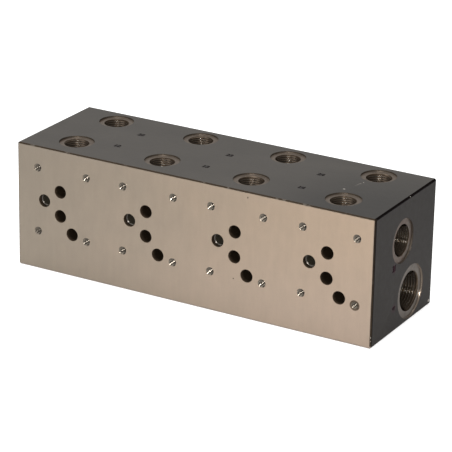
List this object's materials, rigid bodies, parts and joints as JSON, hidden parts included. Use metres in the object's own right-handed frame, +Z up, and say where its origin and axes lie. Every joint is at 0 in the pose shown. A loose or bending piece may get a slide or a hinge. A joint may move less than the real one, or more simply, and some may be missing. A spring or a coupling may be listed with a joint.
{
  "type": "hydraulic subplate",
  "caption": "Machined bar manifold with a ground face for directional valves, tapped ports on top, and pressure and tank galleries drilled from end to end.",
  "frame": {"origin": "centre of the underside", "axes": "+X along the bar, the valve face looks towards -Y, +Z up to the face with the working ports"},
  "size_m": [0.32, 0.105, 0.105],
  "materials": {
    "steel": "ground valve face, blackened on the other faces"
  },
  "bodies": {
    "root": {"manifold_block": "steel"}
  },
  "joints": []
}
